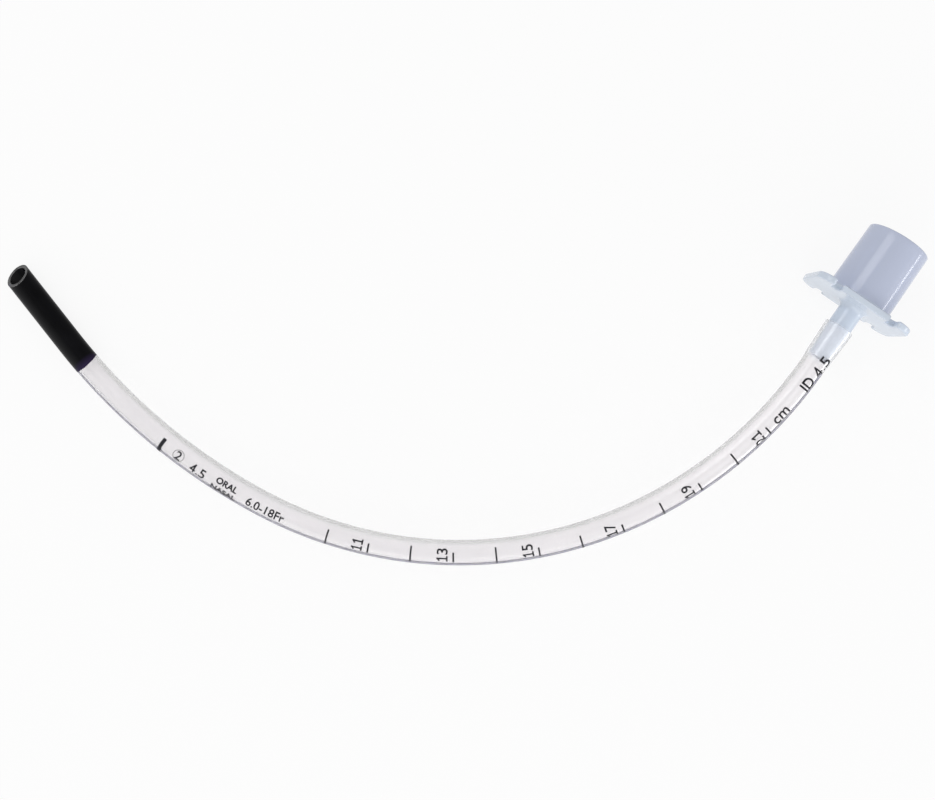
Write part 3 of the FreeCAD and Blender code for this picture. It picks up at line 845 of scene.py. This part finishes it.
@dataclass(frozen=True)
class Word:
    """One printed word or number.

    Attributes:
        name: Name of the piece.
        text: What it says.
        distance: Place of its middle, from the tip's point.
        angle: Place of its middle, from straight up towards the convex side, in degrees.
        length: Its extent in its own reading direction.
        height: Its extent across that.
        turn: The way that it stands.
        weight: How much its strokes are fattened, for a cap height of 1.
        drawn: Whether its signs are placed one by one, with the 1, the 4 and the point drawn.
        stroke: Width of the lines of a drawn sign.
        digit_gap: Gap between two signs that are placed one by one.
    """

    name: str
    text: str
    distance: float
    angle: float
    length: float
    height: float
    turn: Turn = Turn.ALONG
    weight: float = 0.012
    drawn: bool = False
    stroke: float = 0.38 * MM
    digit_gap: float = 0.36 * MM

    def outline(self) -> bmesh.types.BMesh:
        """Make the word's flat shape.

        Returns:
            A mesh in the XY plane round its middle, from 0 up by the ink's thickness.
        """
        if not self.drawn:
            return self.set_type(self.text, self.length)
        points = self.text.count(".")
        spaces = self.digit_gap * (len(self.text) - 1)
        width = (self.length - spaces - points * self.stroke) / (len(self.text) - points)
        bm = bmesh.new()
        left = -self.length / 2
        for sign in self.text:
            wide = self.stroke if sign == "." else width
            lines = self.sign_lines(sign, wide)
            part = self.draw_lines(lines) if lines else self.set_type(sign, wide)
            bmesh.ops.translate(part, vec=(left + wide / 2, 0, 0), verts=part.verts[:])
            left += wide + self.digit_gap
            mesh = bpy.data.meshes.new(self.name)
            part.to_mesh(mesh)
            part.free()
            bm.from_mesh(mesh)
            bpy.data.meshes.remove(mesh)
        return bm

    def sign_lines(self, sign: str, width: float) -> list[tuple[Vector, Vector]]:
        """List the middle lines of a sign that is drawn and not set in the font.

        Args:
            sign: The sign.
            width: Its width.

        Returns:
            The two ends of each line, round the sign's middle; none for a sign of the font.
        """
        half = self.stroke / 2
        left, right = -width / 2 + half, width / 2 - half
        low, high = -self.height / 2 + half, self.height / 2 - half
        if sign == "1":
            stem = 0.05 * width
            return [
                (Vector((stem, low)), Vector((stem, high))),
                (Vector((left, low)), Vector((right, low))),
                (Vector((left * 0.8, high - 0.14 * self.height)), Vector((stem, high))),
            ]
        if sign == "4":
            stem, bar = 0.2 * width, low + 0.24 * self.height
            return [
                (Vector((stem, low)), Vector((stem, high))),
                (Vector((left, bar)), Vector((right, bar))),
                (Vector((left, bar)), Vector((stem, high))),
            ]
        if sign == ".":
            return [(Vector((-half / 10, low)), Vector((half / 10, low)))]
        return []

    def draw_lines(self, lines: list[tuple[Vector, Vector]]) -> bmesh.types.BMesh:
        """Draw straight lines of the word's stroke width.

        Args:
            lines: The two ends of each line.

        Returns:
            The lines, from 0 up by the ink's thickness.
        """
        bm = bmesh.new()
        for start, end in lines:
            way = end - start
            middle = (start + end) / 2
            place = (
                Matrix.Translation((middle.x, middle.y, INK_THICKNESS / 2))
                @ Matrix.Rotation(math.atan2(way.y, way.x), 4, "Z")
                @ Matrix.Diagonal((way.length + self.stroke, self.stroke, INK_THICKNESS, 1))
            )
            bmesh.ops.create_cube(bm, size=1.0, matrix=place)
        return bm

    def set_type(self, text: str, length: float) -> bmesh.types.BMesh:
        """Set letters in Blender's own font, and size them.

        Args:
            text: The letters.
            length: Their extent in the reading direction.

        Returns:
            The letters round their middle, from 0 up by the ink's thickness.
        """
        curve = bpy.data.curves.new(self.name, "FONT")
        curve.body = text
        curve.extrude = 0.05
        curve.offset = self.weight
        curve.resolution_u = 5
        carrier = bpy.data.objects.new(self.name, curve)
        bpy.context.scene.collection.objects.link(carrier)
        graph = bpy.context.evaluated_depsgraph_get()
        mesh = bpy.data.meshes.new_from_object(carrier.evaluated_get(graph))
        bpy.data.objects.remove(carrier)
        bm = bmesh.new()
        bm.from_mesh(mesh)
        bpy.data.meshes.remove(mesh)
        low = Vector(min(vert.co[axis] for vert in bm.verts) for axis in range(3))
        high = Vector(max(vert.co[axis] for vert in bm.verts) for axis in range(3))
        size = high - low
        grow = (length / size.x, self.height / size.y, INK_THICKNESS / size.z, 1.0)
        middle = Vector(((low.x + high.x) / 2, (low.y + high.y) / 2, low.z))
        move = Matrix.Diagonal(grow) @ Matrix.Translation(-middle)
        bmesh.ops.transform(bm, matrix=move, verts=bm.verts[:])
        bmesh.ops.remove_doubles(bm, verts=bm.verts[:], dist=MERGE)
        bmesh.ops.recalc_face_normals(bm, faces=bm.faces[:])
        if bm.calc_volume(signed=True) < 0.0:
            bmesh.ops.reverse_faces(bm, faces=bm.faces[:])
        return bm


@dataclass
class PrintedScale:
    """The words, numerals and ring printed on the tube beside the CAD's strokes.

    Attributes:
        words: The words and numbers.
        ring_distance: Place of the ringed numeral's ring.
        ring_angle: Its angle.
        ring_radius: Outside of the ring.
        ring_line: Width of its line.
        strip: Width of the strips that a word is cut into, to follow the tube.
    """

    words: tuple[Word, ...] = (
        Word("ringed_numeral", "2", 59.8 * MM, 9, 1.45 * MM, 2.2 * MM),
        Word("size_at_tip", "4.5", 65.5 * MM, 15, 4.0 * MM, 2.3 * MM, drawn=True),
        Word("route_upper", "ORAL", 73.1 * MM, -4, 5.6 * MM, 1.6 * MM, weight=0.035),
        Word("route_lower", "NASAL", 73.0 * MM, 38, 6.6 * MM, 1.45 * MM, weight=0.035),
        Word("outside_size", "6.0-18Fr", 83.7 * MM, 11, 9.8 * MM, 2.2 * MM, weight=0.016),
        Word("numeral_11", "11", 106.65 * MM, 9, 2.9 * MM, 2.6 * MM,
             Turn.ACROSS, drawn=True),
        Word("numeral_13", "13", 126.7 * MM, 3, 3.2 * MM, 2.6 * MM,
             Turn.ACROSS, drawn=True),
        Word("numeral_15", "15", 146.7 * MM, 9, 3.2 * MM, 2.6 * MM,
             Turn.ACROSS, drawn=True),
        Word("numeral_17", "17", 166.5 * MM, 19, 3.2 * MM, 2.6 * MM,
             Turn.ACROSS, drawn=True),
        Word("numeral_19", "19", 186.3 * MM, 16, 3.25 * MM, 2.6 * MM,
             Turn.ACROSS, drawn=True),
        Word("numeral_21", "21", 206.4 * MM, 19, 3.15 * MM, 2.6 * MM,
             Turn.ACROSS, drawn=True),
        Word("scale_unit", "cm", 213.8 * MM, 22, 4.4 * MM, 1.9 * MM),
        Word("bore_letters", "ID", 223.0 * MM, 22, 3.0 * MM, 2.9 * MM, weight=0.02),
        Word("bore_size", "4.5", 228.0 * MM, 27, 4.6 * MM, 2.9 * MM, drawn=True),
    )
    ring_distance: float = 59.8 * MM
    ring_angle: float = 9.0
    ring_radius: float = 1.425 * MM
    ring_line: float = 0.11 * MM
    strip: float = 0.3 * MM

    def cut_strips(self, bm: bmesh.types.BMesh) -> None:
        """Cut a flat mark into narrow strips both ways."""
        for axis in (0, 1):
            reach = max(abs(vert.co[axis]) for vert in bm.verts)
            normal = Vector((1 - axis, axis, 0))
            for number in range(-int(reach / self.strip), int(reach / self.strip) + 1):
                bmesh.ops.bisect_plane(
                    bm,
                    geom=bm.verts[:] + bm.edges[:] + bm.faces[:],
                    dist=1e-9,
                    plane_co=normal * (number + 0.5) * self.strip,
                    plane_no=normal,
                )

    def wrap(self, bm: bmesh.types.BMesh, distance: float, angle: float, turn: Turn) -> None:
        """Wrap a flat mark round the straight tube, then lay it on the route.

        Args:
            bm: The mark, round its own middle in the XY plane.
            distance: Place of its middle, from the tip's point.
            angle: Its angle, from straight up towards the convex side, in degrees.
            turn: The way that it stands.
        """
        for vert in bm.verts:
            x, y, z = vert.co
            along, across = (x, y) if turn is Turn.ALONG else (-y, x)
            place = distance + along
            radius = self.surface_radius(place)
            around = across / radius - math.radians(angle)
            height = radius + z
            vert.co = (place, height * math.sin(around), height * math.cos(around))
        ROUTE.lay(bm)

    def surface_radius(self, distance: float) -> float:
        """Radius of the tube's outside at a distance, which grows where it is stretched."""
        rows = ClearTube.stretched
        before = (ROUTE.length - rows[0][0], ClearTube.outer_radius)
        for row in rows:
            here = (ROUTE.length - row[0], row[1])
            if distance < here[0]:
                span = here[0] - before[0]
                share = max(distance - before[0], 0.0) / span if span else 0.0
                return before[1] + (here[1] - before[1]) * share
            before = here
        return before[1]

    def ring(self) -> bmesh.types.BMesh:
        """Make the ring round the numeral.

        Returns:
            A flat ring with the ink's thickness, in the XY plane.
        """
        bm = bmesh.new()
        bmesh.ops.create_circle(bm, cap_ends=True, segments=72, radius=self.ring_radius)
        disc = bm.faces[:]
        bmesh.ops.inset_region(
            bm, faces=disc, thickness=self.ring_line, use_even_offset=True, use_boundary=True
        )
        bmesh.ops.delete(bm, geom=disc, context="FACES")
        bmesh.ops.solidify(bm, geom=bm.faces[:], thickness=-INK_THICKNESS)
        lowest = min(vert.co.z for vert in bm.verts)
        bmesh.ops.translate(bm, vec=(0, 0, -lowest), verts=bm.verts[:])
        bmesh.ops.recalc_face_normals(bm, faces=bm.faces[:])
        return bm

    def build(self, ink: bpy.types.Material) -> None:
        """Print every word and the ring.

        Args:
            ink: The ink of the print.
        """
        for word in self.words:
            bm = word.outline()
            self.cut_strips(bm)
            self.wrap(bm, word.distance, word.angle, word.turn)
            finish_piece(bm, word.name, ink)
        bm = self.ring()
        self.wrap(bm, self.ring_distance, self.ring_angle, Turn.ALONG)
        finish_piece(bm, "numeral_ring", ink)


@dataclass
class Connector:
    """The moulded connector, a copy of the CAD's with its facets merged and shaded smooth.

    Attributes:
        crease: Angle from which an edge stays sharp, in degrees.
        merge: Distance at which two corners are one.
    """

    crease: float = 32.0
    merge: float = 0.5e-6

    def build(self) -> bpy.types.Object:
        """Build the piece and let it stand for the CAD's connector.

        Returns:
            The piece.
        """
        bm = bmesh.new()
        bm.from_mesh(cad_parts["connector"].data)
        bmesh.ops.remove_doubles(bm, verts=bm.verts[:], dist=self.merge)
        finish = POLYPROPYLENE.build()
        piece = finish_piece(bm, "connector_moulding", finish, self.crease)
        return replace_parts(piece, "connector")


# The studio


@dataclass(frozen=True)
class SoftLight:
    """One area light.

    Attributes:
        name: Its name.
        place: Where it stands.
        aim: The point that it faces.
        size: Its two sides.
        power: Its power, in watts.
        glint: How strongly it shows in a gloss.
    """

    name: str
    place: tuple[float, float, float]
    aim: tuple[float, float, float]
    size: tuple[float, float]
    power: float
    glint: float = 1.0

    def build(self) -> bpy.types.Object:
        """Set the light up."""
        lamp = bpy.data.lights.new(self.name, "AREA")
        lamp.shape = "RECTANGLE"
        lamp.size, lamp.size_y = self.size
        lamp.energy = self.power
        lamp.specular_factor = self.glint
        light = bpy.data.objects.new(self.name, lamp)
        light.location = self.place
        way = Vector(self.aim) - Vector(self.place)
        light.rotation_euler = way.to_track_quat("-Z", "Y").to_euler()
        light.visible_transmission = False
        bpy.context.scene.collection.objects.link(light)
        return light


@dataclass
class Studio:
    """A white floor and surround, soft lights, and the camera of the photograph.

    Attributes:
        floor_half: Half of the floor's side.
        shadow_share: How much of the floor's look is lit, so that it keeps the shadow.
        daylight: Strength of the surround's light.
        camera_place: Where the camera stands.
        lens: Its focal length, in millimetres.
        sensor: Its sensor's width, in millimetres.
        lights: The lights.
    """

    floor_half: float = 4.0
    shadow_share: float = 0.12
    daylight: float = 0.62
    camera_place: tuple[float, float, float] = (1.837 * MM, -0.751 * MM, 293.0 * MM)
    lens: float = 47.19
    sensor: float = 36.0
    lights: tuple[SoftLight, ...] = (
        SoftLight("low_front", (-0.05, -0.75, 0.34), (0.0, 0.0, 0.0), (1.1, 0.6), 2.4),
        SoftLight("strip_right", (0.62, -0.40, 0.085), (0.09, 0.035, 0.01), (0.5, 0.07), 0.9),
        SoftLight("high_left", (-0.5, 0.45, 0.8), (0.0, 0.0, 0.0), (0.5, 0.5), 2.0, 0.0),
        SoftLight("wash_right", (0.7, -0.45, 0.3), (0.09, 0.03, 0.0), (0.5, 0.3), 0.3, 0.0),
    )

    def seen_directly(self, bench: NodeBench) -> bpy.types.NodeSocket:
        """Mask of the rays that see the white background: camera, reflected and refracted."""
        path = bench.add("ShaderNodeLightPath")
        first = bench.maths(
            "MAXIMUM", path.outputs["Is Camera Ray"], path.outputs["Is Glossy Ray"]
        )
        return bench.maths("MAXIMUM", first, path.outputs["Is Transmission Ray"])

    def build_floor(self) -> bpy.types.Object:
        """Lay the white floor, which keeps a part of the object's shadow."""
        material = bpy.data.materials.new("white_floor")
        material.use_nodes = True
        material.node_tree.nodes.clear()
        bench = NodeBench(material.node_tree)
        lit = bench.add("ShaderNodeBsdfDiffuse", {"Color": (0.9, 0.9, 0.9, 1.0)})
        white = bench.add("ShaderNodeEmission", {"Color": (1, 1, 1, 1), "Strength": 1.0})
        mix = bench.add("ShaderNodeMixShader")
        share = bench.maths("MULTIPLY", self.seen_directly(bench), 1.0 - self.shadow_share)
        bench.join(share, mix.inputs[0])
        bench.join(lit.outputs[0], mix.inputs[1])
        bench.join(white.outputs[0], mix.inputs[2])
        output = bench.add("ShaderNodeOutputMaterial")
        bench.join(mix.outputs[0], output.inputs["Surface"])
        bm = bmesh.new()
        bmesh.ops.create_grid(bm, x_segments=4, y_segments=4, size=self.floor_half)
        mesh = bpy.data.meshes.new("floor")
        bm.to_mesh(mesh)
        bm.free()
        mesh.materials.append(material)
        floor = bpy.data.objects.new("floor", mesh)
        bpy.context.scene.collection.objects.link(floor)
        return floor

    def build_surround(self) -> None:
        """Light the scene from all round, and show white behind it."""
        world = bpy.data.worlds.new("studio")
        world.use_nodes = True
        world.node_tree.nodes.clear()
        bench = NodeBench(world.node_tree)
        light = bench.add(
            "ShaderNodeBackground", {"Color": (1, 1, 1, 1), "Strength": self.daylight}
        )
        white = bench.add("ShaderNodeBackground", {"Color": (1, 1, 1, 1), "Strength": 1.0})
        mix = bench.add("ShaderNodeMixShader")
        bench.join(self.seen_directly(bench), mix.inputs[0])
        bench.join(light.outputs[0], mix.inputs[1])
        bench.join(white.outputs[0], mix.inputs[2])
        output = bench.add("ShaderNodeOutputWorld")
        bench.join(mix.outputs[0], output.inputs["Surface"])
        bpy.context.scene.world = world

    def build_camera(self) -> None:
        """Set the camera straight above the part."""
        lens = bpy.data.cameras.new("camera")
        lens.lens = self.lens
        lens.sensor_width = self.sensor
        lens.clip_start = 0.01
        lens.clip_end = 20.0
        camera = bpy.data.objects.new("camera", lens)
        camera.location = self.camera_place
        bpy.context.scene.collection.objects.link(camera)
        bpy.context.scene.camera = camera

    def build(self) -> None:
        """Set everything up."""
        self.build_floor()
        self.build_surround()
        self.build_camera()
        for light in self.lights:
            light.build()
        bpy.context.scene.view_settings.view_transform = "Standard"


def dress_nodes(names: Iterable[str], material: bpy.types.Material) -> None:
    """Give CAD nodes that stay a finish.

    Args:
        names: Names of the nodes.
        material: The finish.
    """
    for name in names:
        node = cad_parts[name]
        node.data.materials.clear()
        node.data.materials.append(material)
        LOG.info("%s: CAD node dressed", name)


def main() -> None:
    """Build every piece and the studio, and report them."""
    logging.basicConfig(level=logging.INFO)
    Studio().build()
    ClearTube().build()
    black = TIP_INK.build()
    BlackTip().build(black)
    # Painted shade: a black sleeve inside the bore, a dark sheet for the shade in the lumen under
    # the ink field.
    BlackTip("bore_painted_shade", "", 2.21 * MM, 2.24 * MM, 28.0 * MM).build(black)
    Connector().build()
    ink = PRINT_INK.build()
    dress_nodes(("cord_mark", "depth_scale"), ink)
    dress_nodes(("radiopaque_line",), RADIOPAQUE_PVC.build())
    PrintedScale().build(ink)


if __name__ == "__main__":
    main()
